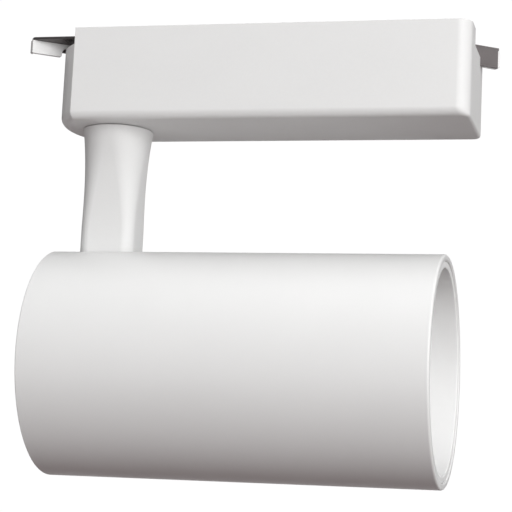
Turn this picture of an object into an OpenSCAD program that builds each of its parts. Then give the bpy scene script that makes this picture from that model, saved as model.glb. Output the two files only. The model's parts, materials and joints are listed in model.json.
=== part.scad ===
// Track spotlight: a driver box that plugs into a lighting track, a swivelling hollow stem,
// and a tubular lamp head that tilts on the stem.
//
// X runs along the track, Y across it and Z up. The origin is the centre of the deck on which
// the track's underside rests. The lamp shines towards +X at rest.

/* [Adapter box] */
// Length of the box over its rounded end
box_length = 154; // [148:1:170]
// Depth of the box across the track
box_depth = 41; // [39:0.5:48]
// Height of the box below the track face
box_drop = 33; // [31:0.5:40]
// Height of the side rims above the track face
rim_height = 1.3; // [0.8:0.1:2]
// Thickness of the side walls
wall = 2; // [1.6:0.1:2.4]
// How far the left end bulges beyond its own corners
end_bulge = 9; // [6:0.5:10]
// Radius of the upright corners at the right end
corner_radius = 5; // [3:0.5:6]

/* [Lamp head] */
// Outer diameter of the barrel
barrel_diameter = 82; // [78:1:90]
// Length of the barrel
barrel_length = 144; // [140:1:160]
// Thickness of the barrel tube
tube_wall = 2.2; // [1.8:0.1:2.4]
// Length of the barrel behind the stem's axis
rear_overhang = 19; // [18:0.5:20]
// Distance from the barrel's mouth back to the lens retaining ring
lens_recess = 17; // [14:1:20]

/* [Stem] */
// Width of the stem along the track
stem_width = 20.5; // [19:0.5:22]
// Thickness of the stem across the track
stem_depth = 18; // [16:0.5:18]
// Diameter of the round flare under the box
flare_diameter = 26; // [25:0.5:27]
// Distance from the box's underside down to the barrel's axis
axis_drop = 87; // [84:1:100]
// Distance of the swivel from the middle of the box
swivel_offset = 56; // [55:0.5:57]

/* [Lock levers] */
// Distance of each lever's pivot from the middle of the box
lock_offset = 50; // [49:0.5:51]
// How far the left finger tab stands out past the end of the box
left_reach = 11; // [9.8:0.1:11.5]
// How far the right finger tab stands out past the end of the box
right_reach = 6.6; // [5.8:0.1:7]
// Height of the left finger tab
left_tab_height = 5.9; // [5.5:0.1:6.5]
// Height of the right finger tab
right_tab_height = 7.5; // [7:0.1:8]

/* [Hidden] */
$fn = 96;

// Box
fit_gap = 0.1;
running_gap = 0.05;
half_length = box_length / 2;
half_depth = box_depth / 2;
end_radius = (half_depth * half_depth + end_bulge * end_bulge) / (2 * end_bulge);
end_centre = end_radius - half_length;
floor_thickness = 2.2;
floor_z = floor_thickness - box_drop;
end_wall_top = -4.8;
window_side = 7.5;
deck_thickness = 1.5;
deck_half_length = 66.5;
post_x = 61;
post_y = half_depth - 5;
post_radius = 2.8;
screw_radius = 1.2;
pilot_radius = 1.3;

// Driver
board_back = -36;
board_front = 56;
board_half_depth = 16.5;
board_thickness = 1.6;
standoff_height = 3.8;
board_z = floor_z + standoff_height;
parts_z = board_z + board_thickness;
standoff_inset = 5;
standoff_y = 12.5;
sheet_z = -7.5;
sheet_thickness = 0.5;
transformer_x = 24;

// Contacts
neck_start = 4;
neck_end = 34;
neck_half_depth = 4.5;
neck_top = 5.2;
contact_z = 3.6;
contact_thickness = 0.8;
earth_z = 2.4;

// Lock levers
arm_thickness = 1.4;
arm_z = -deck_thickness - fit_gap - arm_thickness;
post_pin_radius = 3;
dog_z = 2.1;
dog_thickness = 1.3;
arm_bend = 66;
riser_x = 69.6;
riser_thickness = 1.2;
steel_thickness = 1;
tab_top = -0.3;
tab_front = 14.9;
tab_angle = 37;
cap_wall = 1.4;
cap_end = 1;
web_depth = cap_wall + steel_thickness;
cap_top = tab_top - steel_thickness;
tongue_z = cap_top - 1.6;
flange_foot = arm_z - arm_thickness;
arch_radius = 2;
web_stop = 74;
wall_gap = 0.4;
hub_radius = 6;
hub_hole_radius = 1.6;
flat_start = [2, 5.2];
flat_back = 7.4;
flat_front = 13.3;
web_overlap = 0.5;
web_hem = 0.3;
arch_setback = 1.2;
tongue_setback = 0.4;

// Swivel
spigot_radius = 6;
bush_radius = 8;
boss_radius = 10.5;
boss_top = floor_z + 1.3;
bush_flange = 0.8;
washer_z = boss_top + bush_flange + fit_gap;
washer_thickness = 0.8;
ring_thickness = 1.2;
ring_z = washer_z + washer_thickness;
nut_z = ring_z + ring_thickness;
nut_height = 4;
spigot_top = nut_z + nut_height + 1.5;
stop_circle = 12;
stop_radius = 0.9;
lead_radius = 0.8;
lead_spread = 1.1;
lead_bore = 2.6;
bend_overrun = 0.6;

// Stem and tilt joint
stem_gap = 0.3;
stem_top = -box_drop - stem_gap;
axis_z = -box_drop - axis_drop;
stem_corner = 4;
flare_blend = 26;
tilt_pin_radius = 3;
slot_gap = 0.8;
slot_half = stem_depth / 2 + 0.7;
swing_reach = stem_width / 2 + slot_gap;
liner_wall = 1.3;
wire_rise = 13;

// Lamp head, with its own X measured from the stem's axis
barrel_radius = barrel_diameter / 2;
bore_radius = barrel_radius - tube_wall;
head_back = -rear_overhang;
head_front = barrel_length - rear_overhang;
cap_thickness = 2.5;
liner_back = head_back + cap_thickness;
ear_thickness = 1.6;
ear_inner = slot_half + liner_wall + 0.2;
ear_radius = 9;
sink_back = 24.6;
sink_base_back = 68;
sink_base_front = 74;
emitter_front = 76.4;
lens_front = head_front - lens_recess - 2.8;
lens_thickness = 2.5;
ring_wall = 2.6;
lens_radius = bore_radius - 2.4;
boss_spots = [[26, 16], [-26, 16], [0, -31]];

// A rounded rectangle in the XY plane, centred on the origin.
module rounded_plate(x, y, r) {
    square([x - 2 * r, y], center = true);
    square([x, y - 2 * r], center = true);
    for (sx = [-1, 1]) {
        for (sy = [-1, 1]) {
            translate([sx * (x / 2 - r), sy * (y / 2 - r)]) circle(r);
        }
    }
}

// The box seen from above: an arc at the left end and rounded corners at the right end.
module box_outline(inset) {
    reach = half_length - inset;
    side = half_depth - inset;
    r = corner_radius - inset;
    intersection() {
        union() {
            translate([end_centre, 0]) circle(end_radius - inset, $fn = 160);
            translate([end_centre, -half_depth]) square([box_length, box_depth]);
        }
        union() {
            translate([-half_length, -side]) square([half_length + reach - r, 2 * side]);
            translate([-half_length, r - side]) square([half_length + reach, 2 * (side - r)]);
            for (s = [-1, 1]) {
                translate([reach - r, s * (side - r)]) circle(r);
            }
        }
    }
}

// Puts a shape at each of the four screw posts of the deck.
module at_deck_posts() {
    for (sx = [-1, 1]) {
        for (sy = [-1, 1]) {
            translate([sx * post_x, sy * post_y, 0]) children();
        }
    }
}

// Puts a shape at each standoff of the driver board.
module at_standoffs() {
    for (x = [board_back + standoff_inset, board_front - standoff_inset]) {
        for (s = [-1, 1]) {
            translate([x, s * standoff_y, 0]) children();
        }
    }
}

module box_housing() {
    color("white") difference() {
        union() {
            difference() {
                translate([0, 0, -box_drop]) linear_extrude(box_drop + rim_height) box_outline(0);
                translate([0, 0, floor_z]) linear_extrude(box_drop + rim_height) box_outline(wall);
            }
            translate([-swivel_offset, 0, -box_drop]) {
                cylinder(r = boss_radius, h = boss_top + box_drop);
            }
            at_deck_posts() {
                translate([0, 0, floor_z - 1]) {
                    cylinder(r = post_radius, h = 1 - deck_thickness - floor_z);
                }
            }
            at_standoffs() {
                translate([0, 0, floor_z - 1]) cylinder(r = 2.5, h = standoff_height + 1);
            }
        }
        // windows in which the lock levers swing
        translate([-half_length - 1, -half_depth - 1, end_wall_top]) {
            cube([end_bulge + 0.9, half_depth + 1 + window_side, 10]);
        }
        translate([half_length - wall, -window_side, end_wall_top]) {
            cube([wall + 1, half_depth + 1 + window_side, 10]);
        }
        translate([-swivel_offset, 0, -box_drop - 1]) cylinder(r = bush_radius, h = 8);
        at_deck_posts() {
            translate([0, 0, -14]) cylinder(r = pilot_radius, h = 16, $fn = 32);
        }
        at_standoffs() {
            translate([0, 0, floor_z]) cylinder(r = pilot_radius, h = 8, $fn = 32);
        }
    }
}

module top_deck() {
    color("white") difference() {
        union() {
            translate([0, 0, -deck_thickness]) {
                linear_extrude(deck_thickness) intersection() {
                    box_outline(wall + fit_gap);
                    square([2 * deck_half_length, box_depth], center = true);
                }
            }
            // stiffening ribs between the two levers
            for (s = [-1, 1]) {
                translate([-34, s * (half_depth - 5) - 0.6, -4.5]) cube([68, 1.2, 3.5]);
            }
        }
        for (s = [-1, 1]) {
            translate([s * lock_offset, 0, -8]) {
                cylinder(r = post_pin_radius + running_gap, h = 16);
            }
        }
        translate([neck_start - fit_gap, -neck_half_depth - fit_gap, -8]) {
            cube([neck_end - neck_start + 2 * fit_gap, 2 * (neck_half_depth + fit_gap), 16]);
        }
        at_deck_posts() {
            translate([0, 0, -8]) cylinder(r = pilot_radius, h = 16, $fn = 32);
            translate([0, 0, -1.25]) cylinder(r1 = pilot_radius, r2 = 2.65, h = 1.35, $fn = 48);
        }
    }
}

// A countersunk screw whose flat head is at the origin and whose tip points down.
module flat_screw(length, shaft = screw_radius, head = 2.3) {
    difference() {
        union() {
            translate([0, 0, -length]) cylinder(r = shaft, h = length - 0.4, $fn = 32);
            translate([0, 0, shaft - head]) cylinder(r1 = shaft, r2 = head, h = head - shaft, $fn = 48);
        }
        for (a = [0, 90]) {
            rotate([0, 0, a]) cube([head * 1.2, 0.5, 0.9], center = true);
        }
    }
}

// A pan-head screw whose head sits on the origin and whose tip points down.
module pan_screw(length, shaft = screw_radius, head = 2.2, height = 1.4) {
    difference() {
        union() {
            translate([0, 0, -length]) cylinder(r = shaft, h = length + 0.2, $fn = 32);
            cylinder(r = head, h = height, $fn = 48);
        }
        for (a = [0, 90]) {
            translate([0, 0, height]) rotate([0, 0, a]) cube([head * 1.2, 0.5, 1], center = true);
        }
    }
}

module deck_screws() {
    color("silver") at_deck_posts() translate([0, 0, -0.1]) flat_screw(11);
}

// A brass blade: a leg down through the carrier and a finger out towards -Y.
module contact_blade(clearance) {
    translate([-4 - clearance, -3.2 - clearance, -10]) {
        cube([8 + 2 * clearance, contact_thickness + 2 * clearance,
              10 + contact_z + contact_thickness + clearance]);
    }
    translate([-4 - clearance, -6.2, contact_z - clearance]) {
        cube([8 + 2 * clearance, 3.4, contact_thickness + 2 * clearance]);
    }
}

// The earth blade runs the other way and points its finger along +X.
module earth_blade(clearance) {
    translate([neck_end - 3.2 - clearance, -2 - clearance, -10]) {
        cube([contact_thickness + 2 * clearance, 4 + 2 * clearance,
              10 + earth_z + contact_thickness + clearance]);
    }
    translate([neck_end - 3, -2 - clearance, earth_z - clearance]) {
        cube([5, 4 + 2 * clearance, contact_thickness + 2 * clearance]);
    }
}

module place_live() {
    translate([neck_start + 7, 0, 0]) children();
}

module place_neutral() {
    translate([neck_start + 19, 0, 0]) rotate([0, 0, 180]) children();
}

module contact_carrier() {
    base_z = sheet_z + sheet_thickness;
    color("dimgray") difference() {
        union() {
            translate([neck_start - 1, -9, base_z]) {
                cube([neck_end - neck_start + 2, 18, -deck_thickness - base_z]);
            }
            translate([neck_start, -neck_half_depth, base_z]) {
                cube([neck_end - neck_start, 2 * neck_half_depth, neck_top - base_z]);
            }
        }
        place_live() contact_blade(0.05);
        place_neutral() contact_blade(0.05);
        earth_blade(0.05);
        // lightening pocket between the two blades
        translate([neck_start + 12.5, -2.5, 1]) cube([5, 5, 8]);
    }
}

module live_contact() {
    color("goldenrod") place_live() contact_blade(0);
}

module neutral_contact() {
    color("goldenrod") place_neutral() contact_blade(0);
}

module earth_contact() {
    color("goldenrod") earth_blade(0);
}

// An eight-sided lead through a list of points. Each straight run goes on a little past a bend.
module wire(points, r = lead_radius) {
    last = len(points) - 2;
    for (i = [0 : last]) {
        d = points[i + 1] - points[i];
        span = norm(d);
        before = i > 0 ? bend_overrun * r : 0;
        after = i < last ? bend_overrun * r : 0;
        translate(points[i]) rotate([0, acos(d[2] / span), atan2(d[1], d[0])]) {
            translate([0, 0, -before]) cylinder(r = r, h = span + before + after, $fn = 8);
        }
    }
}

module supply_leads() {
    pad_x = board_back + 3;
    color("saddlebrown") wire([
        [neck_start + 7, -3.2, -8.4], [neck_start + 7, -14.6, -10],
        [pad_x, -14.6, -10], [pad_x, -8, parts_z + 0.7]
    ]);
    color("royalblue") wire([
        [neck_start + 19, 3.2, -8.4], [neck_start + 19, 14.6, -10],
        [pad_x, 14.6, -10], [pad_x, 8, parts_z + 0.7]
    ]);
    color("yellowgreen") wire([
        [neck_end - 1.6, 0, -9.2], [neck_end - 1.6, 12.4, -9.4],
        [pad_x + 4, 12.4, -9.4], [pad_x + 4, 3, parts_z + 0.7]
    ]);
}

module insulation_sheet() {
    color("antiquewhite") difference() {
        translate([-43, wall + 0.5 - half_depth, sheet_z]) {
            cube([100, box_depth - 2 * wall - 1, sheet_thickness]);
        }
        translate([neck_start, -neck_half_depth, sheet_z - 1]) {
            cube([neck_end - neck_start, 2 * neck_half_depth, 3]);
        }
    }
}

module driver_board() {
    color("darkgreen") difference() {
        translate([board_back, -board_half_depth, board_z]) {
            cube([board_front - board_back, 2 * board_half_depth, board_thickness]);
        }
        at_standoffs() {
            translate([0, 0, board_z - 1]) cylinder(r = pilot_radius, h = 4, $fn = 32);
        }
    }
}

module board_screws() {
    color("silver") at_standoffs() translate([0, 0, parts_z]) pan_screw(4.6);
}

module transformer_core() {
    color("dimgray") translate([transformer_x, 0, parts_z]) difference() {
        translate([-10, -9, 1]) cube([20, 18, 13]);
        for (s = [-1, 1]) {
            translate([-6.5, s * 6 - 2.5, 0]) cube([13, 5, 20]);
        }
    }
}

module transformer_winding() {
    color("gold") translate([transformer_x, 0, parts_z]) {
        for (s = [-1, 1]) {
            translate([-6.4, s * 6 - 2.4, 0]) cube([12.8, 4.8, 15]);
        }
    }
}

module capacitors() {
    color("midnightblue") {
        translate([-4, 5, parts_z]) cylinder(r = 6, h = 15);
        translate([44, -6, parts_z]) cylinder(r = 5, h = 14);
        translate([44, 6, parts_z]) cylinder(r = 5, h = 14);
    }
}

module line_choke() {
    color("peru") translate([-20, -5, parts_z + 7]) rotate([90, 0, 0]) {
        rotate_extrude() translate([5, 0]) circle(2, $fn = 32);
    }
}

module board_parts() {
    color("firebrick") translate([-26, 6, parts_z]) cube([12, 5, 10]);
    color("beige") translate([-5, -8, parts_z]) cylinder(r = 3.2, h = 8);
    color("black") translate([5, -10, parts_z]) cube([7, 3, 9]);
    color("black") translate([3, 3, parts_z]) cube([8, 8, 2.5]);
}

module output_leads() {
    color("crimson") for (s = [-1, 1]) {
        wire([
            [board_back + 1.5, 3 * s, parts_z + 0.02], [board_back + 1.5, 3 * s, spigot_top + 4],
            [-swivel_offset, lead_spread * s, spigot_top + 4],
            [-swivel_offset, lead_spread * s, spigot_top + 0.4]
        ]);
    }
}

module swivel_bush() {
    color("burlywood") translate([-swivel_offset, 0, 0]) difference() {
        union() {
            translate([0, 0, -box_drop]) cylinder(r = bush_radius, h = box_drop + boss_top);
            translate([0, 0, boss_top]) cylinder(r = boss_radius - 0.5, h = bush_flange);
        }
        translate([0, 0, -box_drop - 1]) cylinder(r = spigot_radius + running_gap, h = 12);
    }
}

module swivel_stop_pin() {
    color("silver") translate([stop_circle - swivel_offset, 0, floor_z]) {
        cylinder(r = stop_radius, h = nut_z - floor_z, $fn = 32);
    }
}

// Where the front face of a tab's web meets the tab's front edge, as a distance along the box
function tab_tip(reach) = half_length + reach - web_depth * sin(tab_angle);

// Length of the web from its tip to a given distance along the box
function web_run(reach, x) = (tab_tip(reach) - x) / cos(tab_angle);

// Plan position of a point a given way along the web and behind its front face
function web_point(tip, along, behind) = [
    along * cos(tab_angle) - behind * sin(tab_angle) - tip,
    along * sin(tab_angle) + behind * cos(tab_angle) - tab_front
];

module at_web(tip) {
    translate([-tip, -tab_front, 0]) rotate([0, 0, tab_angle]) children();
}

// Left lever in its locked place. The right lever is the same but shorter, turned half round.
// The steel arm: a hub on the pivot, a flat that steps up outside the box into a shelf over the
// finger tab, and a web turned down along the shelf's slanting back edge.
module lock_arm(reach, height) {
    tip = tab_tip(reach);
    foot = web_run(reach, half_length + wall_gap);
    web_end = web_run(reach, web_stop);
    bottom = tab_top - height;
    web_front = foot - arch_setback;
    web_back = web_end - tongue_setback;
    web_top = cap_top + web_overlap;
    web_bottom = bottom + web_hem;
    step_x = -riser_x - riser_thickness;
    color("dimgray") difference() {
        union() {
            translate([0, 0, arm_z]) linear_extrude(arm_thickness) {
                translate([-lock_offset, 0]) circle(hub_radius);
                polygon([
                    [-lock_offset - flat_start.x, flat_start.y], [-arm_bend, -flat_back],
                    [step_x, -flat_back], [step_x, -flat_front], [-arm_bend, -flat_front],
                    [-lock_offset, -hub_radius]
                ]);
            }
            translate([step_x, -flat_front, arm_z]) {
                cube([riser_thickness, flat_front - flat_back, tab_top - arm_z]);
            }
            translate([0, 0, cap_top]) linear_extrude(steel_thickness) {
                polygon([
                    [-riser_x, -tab_front], [-tip, -tab_front], web_point(tip, 0, web_depth),
                    web_point(tip, web_end, web_depth), [-riser_x, -flat_back]
                ]);
            }
            at_web(tip) translate([0, web_depth, 0]) rotate([90, 0, 0]) {
                linear_extrude(steel_thickness) polygon([
                    [cap_end, web_top], [cap_end, web_bottom], [web_front, web_bottom],
                    [web_front, flange_foot], [web_back, flange_foot], [web_back, web_top]
                ]);
            }
        }
        translate([-lock_offset, 0, arm_z - 1]) {
            cylinder(r = hub_hole_radius, h = arm_thickness + 2, $fn = 32);
        }
    }
}

// The moulded finger tab on the front of the steel web: a skin that runs on into the box as a
// tongue, with an arch below the tongue, and a wall round the web's end.
module lock_cap(reach, height) {
    tip = tab_tip(reach);
    foot = web_run(reach, half_length + wall_gap);
    web_end = web_run(reach, web_stop);
    bottom = tab_top - height;
    color("white") at_web(tip) {
        difference() {
            translate([0, cap_wall, 0]) rotate([90, 0, 0]) linear_extrude(cap_wall) {
                polygon([
                    [0, cap_top], [0, bottom], [foot, bottom], [foot, tongue_z - arch_radius],
                    [foot + arch_radius, tongue_z - arch_radius],
                    [foot + arch_radius, tongue_z], [web_end, tongue_z], [web_end, cap_top]
                ]);
            }
            translate([foot + arch_radius, 2 * cap_wall, tongue_z - arch_radius]) {
                rotate([90, 0, 0]) cylinder(r = arch_radius, h = 3 * cap_wall, $fn = 48);
            }
        }
        translate([0, 0, bottom]) cube([cap_end, web_depth, cap_top - bottom]);
    }
}

// The dog: a round post that turns in the deck and a bar that goes over the track's lips.
module lock_dog() {
    color("silver") translate([-lock_offset, 0, 0]) difference() {
        union() {
            translate([0, 0, arm_z + arm_thickness]) {
                cylinder(r = post_pin_radius, h = dog_z - arm_z - arm_thickness);
            }
            translate([0, 0, dog_z]) linear_extrude(dog_thickness) {
                intersection() {
                    square([6, 24], center = true);
                    circle(12);
                }
            }
        }
        translate([0, 0, arm_z]) cylinder(r = screw_radius, h = 5, $fn = 32);
    }
}

module lock_screw() {
    color("silver") translate([-lock_offset, 0, arm_z]) mirror([0, 0, 1]) {
        pan_screw(4.8, screw_radius, 2.8, 1.3);
    }
}

module turned() {
    rotate([0, 0, 180]) children();
}

module left_lock_arm() { lock_arm(left_reach, left_tab_height); }
module left_lock_cap() { lock_cap(left_reach, left_tab_height); }
module left_lock_dog() { lock_dog(); }
module left_lock_screw() { lock_screw(); }
module right_lock_arm() { turned() lock_arm(right_reach, right_tab_height); }
module right_lock_cap() { turned() lock_cap(right_reach, right_tab_height); }
module right_lock_dog() { turned() lock_dog(); }
module right_lock_screw() { turned() lock_screw(); }

// The stem: a hollow spigot, a concave round flare, a rounded column and an eye at the barrel's
// axis, bored along its length for the leads.
module stem_arm() {
    flare_radius = flare_diameter / 2;
    waist = stem_depth / 2;
    rise = flare_radius - waist;
    curve = (flare_blend * flare_blend + rise * rise) / (2 * rise);
    color("white") translate([-swivel_offset, 0, 0]) difference() {
        union() {
            translate([0, 0, axis_z]) linear_extrude(stem_top - axis_z) {
                rounded_plate(stem_width, stem_depth, stem_corner);
            }
            translate([0, stem_depth / 2, axis_z]) rotate([90, 0, 0]) {
                cylinder(r = stem_width / 2, h = stem_depth);
            }
            translate([0, 0, stem_top - flare_blend]) rotate_extrude() difference() {
                square([flare_radius, flare_blend]);
                translate([waist + curve, 0]) circle(curve, $fn = 720);
            }
            translate([0, 0, stem_top - 1]) cylinder(r = spigot_radius, h = spigot_top - stem_top + 1);
        }
        translate([0, 0, axis_z + wire_rise - lead_bore]) {
            cylinder(r = lead_bore, h = spigot_top - axis_z);
        }
        translate([0, 0, axis_z + wire_rise]) rotate([0, 90, 0]) cylinder(r = lead_bore, h = 40);
        translate([0, 40, axis_z]) rotate([90, 0, 0]) {
            cylinder(r = tilt_pin_radius + running_gap, h = 80);
        }
    }
}

module swivel_nut() {
    color("silver") translate([-swivel_offset, 0, nut_z]) difference() {
        cylinder(r = 10, h = nut_height, $fn = 6);
        translate([0, 0, -1]) cylinder(r = spigot_radius, h = 10);
    }
}

module swivel_washer() {
    color("gray") translate([-swivel_offset, 0, washer_z]) difference() {
        cylinder(r = boss_radius - 1, h = washer_thickness);
        translate([0, 0, -1]) cylinder(r = spigot_radius, h = 4);
    }
}

// A ring keyed to the spigot, with a lug that meets the stop pin at each end of the swing.
module swivel_stop_ring() {
    color("silver") translate([-swivel_offset, 0, ring_z]) difference() {
        union() {
            cylinder(r = boss_radius - 1.5, h = ring_thickness);
            translate([-stop_circle - 0.8, -stop_radius, 0]) {
                cube([stop_circle, 2 * stop_radius, ring_thickness]);
            }
        }
        translate([0, 0, -1]) cylinder(r = spigot_radius, h = 4);
    }
}

module stem_leads() {
    color("crimson") for (s = [-1, 1]) {
        wire([
            [-swivel_offset, lead_spread * s, spigot_top - 0.4],
            [-swivel_offset, lead_spread * s, axis_z + wire_rise],
            [swing_reach - slot_gap - 0.6 - swivel_offset, lead_spread * s, axis_z + wire_rise]
        ]);
    }
}

// Places the head's own frame: X from the stem's axis, Z from the barrel's axis.
module head_frame() {
    translate([-swivel_offset, 0, axis_z]) children();
}

// A round bar or disc along the barrel's axis, from one place to another.
module axial(r, from, to) {
    translate([from, 0, 0]) rotate([0, 90, 0]) cylinder(r = r, h = to - from, $fn = 160);
}

// The space that the stem sweeps through, seen from the side: upright at rest, and level
// towards the back when the barrel points straight down.
module swept_space(extra) {
    r = swing_reach + extra;
    circle(r);
    translate([-barrel_radius - 5, -r]) square([barrel_radius + 5, r]);
    translate([-barrel_radius - 5, -0.01]) square([barrel_radius + 5 + r, barrel_radius + 10]);
}

module swept_block(extra, half) {
    translate([0, half, 0]) rotate([90, 0, 0]) linear_extrude(2 * half) swept_space(extra);
}

module barrel_tube() {
    color("white") head_frame() difference() {
        axial(barrel_radius, head_back, head_front);
        axial(bore_radius, head_back - 1, head_front + 1);
        translate([0, 0, barrel_radius]) {
            translate([swing_reach - 60, -slot_half, -20]) cube([60, 2 * slot_half, 40]);
        }
    }
}

module rear_cap() {
    color("white") head_frame() difference() {
        axial(bore_radius - running_gap, head_back, head_back + cap_thickness);
        swept_block(0, slot_half);
        for (p = boss_spots) {
            translate([head_back, p[0], p[1]]) rotate([0, 90, 0]) {
                translate([0, 0, -1]) cylinder(r = 1.6, h = 8, $fn = 32);
                translate([0, 0, -0.01]) cylinder(r1 = 3, r2 = 1.5, h = 1.5, $fn = 48);
            }
        }
    }
}

module rear_cap_screws() {
    color("silver") head_frame() for (p = boss_spots) {
        translate([head_back + 0.2, p[0], p[1]]) rotate([0, -90, 0]) flat_screw(11, 1.4, 2.7);
    }
}

// A trough that closes the slot off from the inside of the barrel.
module slot_liner() {
    color("whitesmoke") head_frame() difference() {
        intersection() {
            swept_block(liner_wall, slot_half + liner_wall);
            axial(bore_radius - running_gap, liner_back, 60);
        }
        swept_block(0, slot_half);
        translate([0, 30, 0]) rotate([90, 0, 0]) {
            cylinder(r = tilt_pin_radius + 0.1, h = 60);
        }
        translate([0, 0, wire_rise]) rotate([0, 90, 0]) cylinder(r = lead_bore, h = 30);
    }
}

// A folded steel yoke: an ear on each side of the liner and a web screwed to the heat sink.
module tilt_bracket() {
    color("gray") head_frame() difference() {
        union() {
            for (s = [-1, 1]) {
                translate([0, s * (ear_inner + ear_thickness / 2), 0]) rotate([90, 0, 0]) {
                    linear_extrude(ear_thickness, center = true) {
                        circle(ear_radius);
                        translate([0, -ear_radius]) square([sink_back, 2 * ear_radius]);
                    }
                }
            }
            translate([sink_back - ear_thickness, -ear_inner - ear_thickness, -ear_radius]) {
                cube([ear_thickness, 2 * (ear_inner + ear_thickness), 2 * ear_radius]);
            }
        }
        translate([0, 30, 0]) rotate([90, 0, 0]) {
            cylinder(r = tilt_pin_radius + running_gap, h = 60);
        }
        for (s = [-1, 1]) {
            translate([sink_back - 5, 6 * s, 0]) rotate([0, 90, 0]) {
                cylinder(r = 1.6, h = 10, $fn = 32);
            }
        }
    }
}

module bracket_screws() {
    color("silver") head_frame() for (s = [-1, 1]) {
        translate([sink_back - ear_thickness, 6 * s, 0]) rotate([0, -90, 0]) {
            pan_screw(8, 1.4, 2.7, 1.5);
        }
    }
}

module tilt_pin() {
    outer = ear_inner + ear_thickness;
    color("silver") head_frame() rotate([90, 0, 0]) {
        translate([0, 0, -outer - 4]) cylinder(r = tilt_pin_radius, h = 2 * outer + 5);
        translate([0, 0, outer]) cylinder(r = 5.2, h = 3.2);
    }
}

module tilt_nut() {
    outer = ear_inner + ear_thickness;
    color("silver") head_frame() translate([0, outer, 0]) rotate([-90, 0, 0]) difference() {
        cylinder(r = 5.8, h = 3.4, $fn = 6);
        translate([0, 0, -1]) cylinder(r = tilt_pin_radius, h = 6);
    }
}

module tilt_washers() {
    thickness = slot_half - stem_depth / 2 - 2 * fit_gap;
    color("dimgray") head_frame() for (s = [-1, 1]) {
        translate([0, s * (slot_half - thickness / 2 - 0.02), 0]) rotate([90, 0, 0]) difference() {
            cylinder(r = 7.5, h = thickness, center = true);
            cylinder(r = tilt_pin_radius + 0.1, h = 5, center = true);
        }
    }
}

// A turned heat sink: a base plate that carries the lamp, a core, parallel fins that follow
// the barrel, and three bosses that reach back to the rear cap.
module heat_sink() {
    fin_pitch = 6.4;
    color("silver") head_frame() difference() {
        union() {
            axial(bore_radius - running_gap, sink_base_back, sink_base_front);
            axial(18, sink_back, sink_base_back + 1);
            intersection() {
                axial(bore_radius - 1.5, sink_back + 6, sink_base_back + 1);
                for (i = [-5 : 5]) {
                    translate([0, fin_pitch * i - 0.8, -barrel_radius]) {
                        cube([sink_base_back + 1, 1.6, barrel_diameter]);
                    }
                }
            }
            for (p = boss_spots) {
                translate([head_back + cap_thickness, p[0], p[1]]) rotate([0, 90, 0]) {
                    cylinder(r = 3.6, h = sink_base_back - head_back - cap_thickness + 1);
                }
            }
        }
        for (p = boss_spots) {
            translate([head_back, p[0], p[1]]) rotate([0, 90, 0]) {
                cylinder(r = 1.4, h = 14, $fn = 32);
            }
        }
        for (s = [-1, 1]) {
            translate([sink_back - 1, 6 * s, 0]) rotate([0, 90, 0]) {
                cylinder(r = 1.4, h = 10, $fn = 32);
            }
            translate([sink_base_front - 6, 11 * s, 0]) rotate([0, 90, 0]) {
                cylinder(r = 1.2, h = 8, $fn = 32);
            }
        }
        translate([0, 0, wire_rise]) rotate([0, 90, 0]) cylinder(r = lead_bore, h = 120);
    }
}

module led_board() {
    color("white") head_frame() difference() {
        translate([sink_base_front, -14, -12]) cube([1.2, 28, 28]);
        for (s = [-1, 1]) {
            translate([sink_base_front - 1, 11 * s, 0]) rotate([0, 90, 0]) {
                cylinder(r = 1.5, h = 8, $fn = 32);
            }
        }
        translate([0, 0, wire_rise]) rotate([0, 90, 0]) cylinder(r = lead_bore, h = 120);
    }
}

module led_emitter() {
    color("khaki") head_frame() axial(6.5, sink_base_front + 1.2, emitter_front);
}

module led_holder() {
    color("whitesmoke") head_frame() difference() {
        translate([sink_base_front + 1.2, 0, 0]) rotate([0, 90, 0]) cylinder(r = 15, h = 2.4);
        axial(7, 0, 120);
        for (s = [-1, 1]) {
            translate([0, 11 * s, 0]) rotate([0, 90, 0]) cylinder(r = 1.5, h = 120, $fn = 32);
        }
        translate([0, 0, wire_rise]) rotate([0, 90, 0]) cylinder(r = lead_bore, h = 120);
    }
}

module holder_screws() {
    color("silver") head_frame() for (s = [-1, 1]) {
        translate([sink_base_front + 3.6, 11 * s, 0]) rotate([0, 90, 0]) pan_screw(7, 1.1, 2, 1);
    }
}

// The reflector: a bowl that opens from the emitter to the lens, with a flange behind the lens.
module reflector() {
    back = sink_base_front + 4.8;
    front = lens_front - lens_thickness - 0.8;
    mouth = lens_radius - 3;
    span = front - back;
    throat = 7.5;
    thickness = 2;
    steps = 12;
    function flare(t) = throat + (mouth - throat) * (1.25 * t - 0.25 * t * t);
    rim = span - 1.2;
    bowl = [for (i = [0 : steps]) [flare(i / steps), span * i / steps]];
    flange = [[lens_radius, span], [lens_radius, rim], [flare(rim / span) + thickness, rim]];
    shell = [for (i = [steps - 1 : -1 : 0]) [flare(i / steps) + thickness, span * i / steps]];
    color("silver") head_frame() translate([back, 0, 0]) rotate([0, 90, 0]) rotate_extrude() {
        polygon(concat(bowl, flange, shell));
    }
}

module front_lens() {
    color("lightcyan", 0.4) head_frame() axial(lens_radius, lens_front - lens_thickness, lens_front);
}

module lens_gasket() {
    color("gray") head_frame() difference() {
        axial(lens_radius, lens_front, lens_front + 0.8);
        axial(lens_radius - 3, lens_front - 1, lens_front + 2);
    }
}

// The ring screwed into the barrel's mouth: a sleeve with an inner flange over the lens.
module front_ring() {
    color("white") head_frame() difference() {
        axial(bore_radius - running_gap, lens_front - lens_thickness, head_front - 0.4);
        axial(bore_radius - ring_wall, lens_front + 2.8, head_front + 1);
        axial(lens_radius - 3, 0, head_front);
        axial(lens_radius + fit_gap, 0, lens_front + 0.8);
    }
}

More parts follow.
